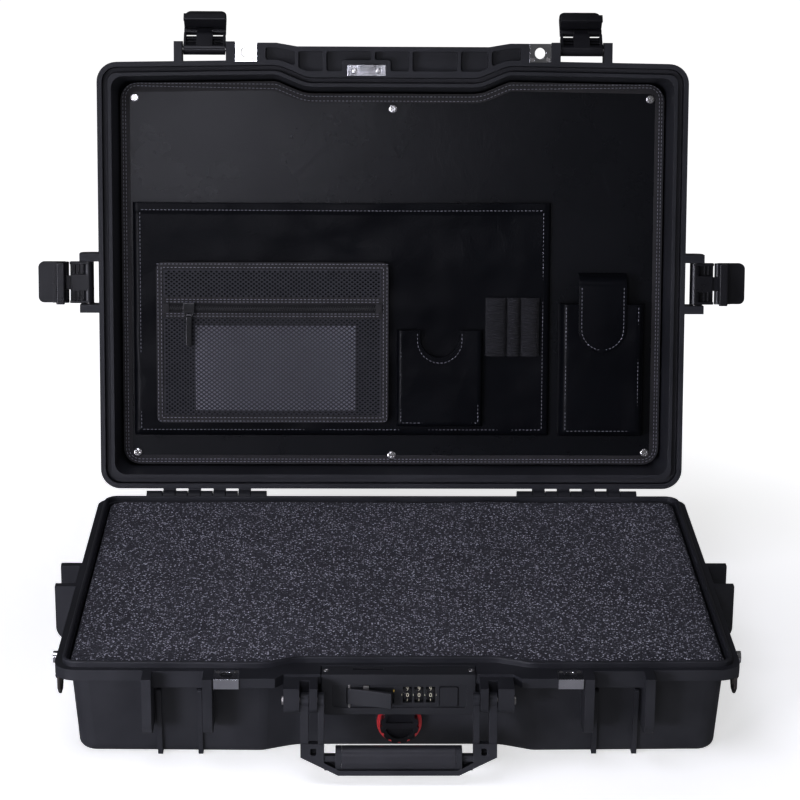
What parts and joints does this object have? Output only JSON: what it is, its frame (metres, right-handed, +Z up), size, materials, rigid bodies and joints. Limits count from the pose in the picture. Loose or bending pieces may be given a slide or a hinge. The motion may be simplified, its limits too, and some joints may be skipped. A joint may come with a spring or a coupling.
{
  "type": "laptop hard case",
  "caption": "Moulded laptop hard case standing open, with four latches, a front handle with a dial lock, foam in the base and an organizer in the lid.",
  "frame": {"origin": "centre of the rim outline dropped to the floor, with the lid open as in the picture", "axes": "+X to the right seen from the front, +Y to the back where the hinge is, +Z up"},
  "size_m": [0.612, 0.5328, 0.4795],
  "materials": {
    "shell_plastic": "lightly grained moulded plastic",
    "latch_plastic": "moulded plastic",
    "lock_plastic": "moulded plastic",
    "grip_rubber": "soft satin",
    "seal_rubber": "matte",
    "foam": "open-cell foam, speckled",
    "panel_cloth": "leather-like cloth",
    "binding_webbing": "woven webbing with stitches",
    "net": "open net",
    "steel": "brushed",
    "bright_steel": "bright",
    "dark_steel": "dark",
    "dial_plastic": "gloss",
    "red_plastic": "satin"
  },
  "bodies": {
    "base": {"base_shell": "shell_plastic", "base_foam_top": "foam", "base_foam_pad": "foam", "hinge_pins": "steel", "base_hasp_plates": "bright_steel", "base_hasp_rivets": "steel", "lock_housing": "lock_plastic", "lock_screws": "steel", "purge_valve_body": "latch_plastic", "purge_valve_ring": "red_plastic", "purge_valve_nut": "latch_plastic", "strap_studs": "bright_steel", "lock_dial_shaft": "steel", "lock_lever_pin": "steel", "handle_pins": "steel", "lock_button_spring": "steel"},
    "lid": {"lid_shell": "shell_plastic", "lid_seal": "seal_rubber", "lock_keeper": "bright_steel", "keeper_screws": "steel", "lid_hasp_plates": "bright_steel", "lid_hasp_rivets": "steel", "latch_pivot_pins": "steel", "organizer_panel": "panel_cloth", "organizer_binding": "binding_webbing", "organizer_screws": "steel", "document_pocket": "panel_cloth", "mesh_pocket_frame": "panel_cloth", "mesh_pocket_net": "net", "zipper_tape": "binding_webbing", "card_pocket": "panel_cloth", "pen_loops": "panel_cloth", "phone_pocket": "panel_cloth"},
    "handle": {"handle_frame": "shell_plastic", "handle_grip": "grip_rubber"},
    "lock_lever": {"lock_lever": "lock_plastic"},
    "lock_hook": {"lock_hook": "steel"},
    "lock_dial_1": {"lock_dial_1": "dial_plastic"},
    "lock_dial_2": {"lock_dial_2": "dial_plastic"},
    "lock_dial_3": {"lock_dial_3": "dial_plastic"},
    "lock_button": {"lock_button": "lock_plastic"},
    "purge_valve_knob": {"purge_valve_knob": "latch_plastic"},
    "strap_ring_left": {"strap_ring_left": "dark_steel"},
    "strap_ring_right": {"strap_ring_right": "dark_steel"},
    "zipper_slider": {"zipper_slider": "steel"},
    "zipper_pull": {"zipper_pull": "steel"},
    "phone_flap": {"phone_flap": "panel_cloth"},
    "latch_arm_front_left": {"latch_arm_front_left": "latch_plastic"},
    "latch_lever_front_left": {"latch_lever_front_left": "latch_plastic", "latch_lever_pin_front_left": "steel"},
    "latch_arm_front_right": {"latch_arm_front_right": "latch_plastic"},
    "latch_lever_front_right": {"latch_lever_front_right": "latch_plastic", "latch_lever_pin_front_right": "steel"},
    "latch_arm_side_left": {"latch_arm_side_left": "latch_plastic"},
    "latch_lever_side_left": {"latch_lever_side_left": "latch_plastic", "latch_lever_pin_side_left": "steel"},
    "latch_arm_side_right": {"latch_arm_side_right": "latch_plastic"},
    "latch_lever_side_right": {"latch_lever_side_right": "latch_plastic", "latch_lever_pin_side_right": "steel"}
  },
  "joints": [
    {"name": "lid_hinge", "type": "hinge", "parent": "base", "child": "lid", "pos_m": [0, 0.192, 0.071], "axis": [1, 0, 0], "range_deg": [0, 100]},
    {"name": "latch_arm_front_left", "type": "hinge", "parent": "lid", "child": "latch_arm_front_left", "pos_m": [-0.1615, 0.27102, 0.45004], "axis": [1, 0, 0], "range_deg": [0, 130]},
    {"name": "latch_lever_front_left", "type": "hinge", "parent": "latch_arm_front_left", "child": "latch_lever_front_left", "pos_m": [-0.1615, 0.28634, 0.46289], "axis": [1, 0, 0], "range_deg": [-40, 0]},
    {"name": "latch_arm_front_right", "type": "hinge", "parent": "lid", "child": "latch_arm_front_right", "pos_m": [0.1615, 0.27102, 0.45004], "axis": [1, 0, 0], "range_deg": [0, 130]},
    {"name": "latch_lever_front_right", "type": "hinge", "parent": "latch_arm_front_right", "child": "latch_lever_front_right", "pos_m": [0.1615, 0.28634, 0.46289], "axis": [1, 0, 0], "range_deg": [-40, 0]},
    {"name": "latch_arm_side_left", "type": "hinge", "parent": "lid", "child": "latch_arm_side_left", "pos_m": [-0.2625, 0.23632, 0.25322], "axis": [0, 0.1736, 0.9848], "range_deg": [-40, 90]},
    {"name": "latch_lever_side_left", "type": "hinge", "parent": "latch_arm_side_left", "child": "latch_lever_side_left", "pos_m": [-0.2825, 0.23632, 0.25322], "axis": [0, 0.1736, 0.9848], "range_deg": [-40, 0]},
    {"name": "latch_arm_side_right", "type": "hinge", "parent": "lid", "child": "latch_arm_side_right", "pos_m": [0.2625, 0.23632, 0.25322], "axis": [0, -0.1736, -0.9848], "range_deg": [-40, 90]},
    {"name": "latch_lever_side_right", "type": "hinge", "parent": "latch_arm_side_right", "child": "latch_lever_side_right", "pos_m": [0.2825, 0.23632, 0.25322], "axis": [0, -0.1736, -0.9848], "range_deg": [-40, 0]},
    {"name": "handle_swing", "type": "hinge", "parent": "base", "child": "handle", "pos_m": [0, -0.2055, 0.0595], "axis": [-1, 0, 0], "range_deg": [-14, 76]},
    {"name": "lock_lever_turn", "type": "hinge", "parent": "base", "child": "lock_lever", "pos_m": [-0.036, -0.1904, 0.0564], "axis": [0, 0, 1], "range_deg": [0, 17]},
    {"name": "lock_hook_slide", "type": "slide", "parent": "base", "child": "lock_hook", "axis": [0, 1, 0], "range_m": [0, 0.003]},
    {"name": "lock_button_press", "type": "slide", "parent": "base", "child": "lock_button", "axis": [0, 1, 0], "range_m": [0, 0.0025], "stiffness_N_per_m": 500, "deforming": ["lock_button_spring"]},
    {"name": "purge_valve_turn", "type": "hinge", "parent": "base", "child": "purge_valve_knob", "pos_m": [0.0012, -0.17, 0.024], "axis": [0, -1, 0], "range_deg": [0, 270]},
    {"name": "lock_dial_1_turn", "type": "hinge", "parent": "base", "child": "lock_dial_1", "pos_m": [0.0066, -0.1835, 0.057], "axis": [1, 0, 0], "continuous": true},
    {"name": "lock_dial_2_turn", "type": "hinge", "parent": "base", "child": "lock_dial_2", "pos_m": [0.01505, -0.1835, 0.057], "axis": [1, 0, 0], "continuous": true},
    {"name": "lock_dial_3_turn", "type": "hinge", "parent": "base", "child": "lock_dial_3", "pos_m": [0.0235, -0.1835, 0.057], "axis": [1, 0, 0], "continuous": true},
    {"name": "strap_ring_left_swing", "type": "hinge", "parent": "base", "child": "strap_ring_left", "pos_m": [-0.2504, -0.16, 0.0608], "axis": [0, 1, 0], "range_deg": [-20, 90]},
    {"name": "strap_ring_right_swing", "type": "hinge", "parent": "base", "child": "strap_ring_right", "pos_m": [0.2504, -0.16, 0.0608], "axis": [0, -1, 0], "range_deg": [-20, 90]},
    {"name": "zipper_slide", "type": "slide", "parent": "lid", "child": "zipper_slider", "axis": [1, 0, 0], "range_m": [0, 0.155]},
    {"name": "zipper_pull_swing", "type": "hinge", "parent": "zipper_slider", "child": "zipper_pull", "pos_m": [-0.1762, 0.22869, 0.22609], "axis": [1, 0, 0], "range_deg": [-120, 0]},
    {"name": "phone_flap_lift", "type": "hinge", "parent": "lid", "child": "phone_flap", "pos_m": [0.18265, 0.25018, 0.25814], "axis": [1, 0, 0], "range_deg": [-110, 0]}
  ],
  "couplings": [
    {"joint": "lock_lever_turn", "follows": "lock_hook_slide", "rad_per_m": 98.9}
  ]
}
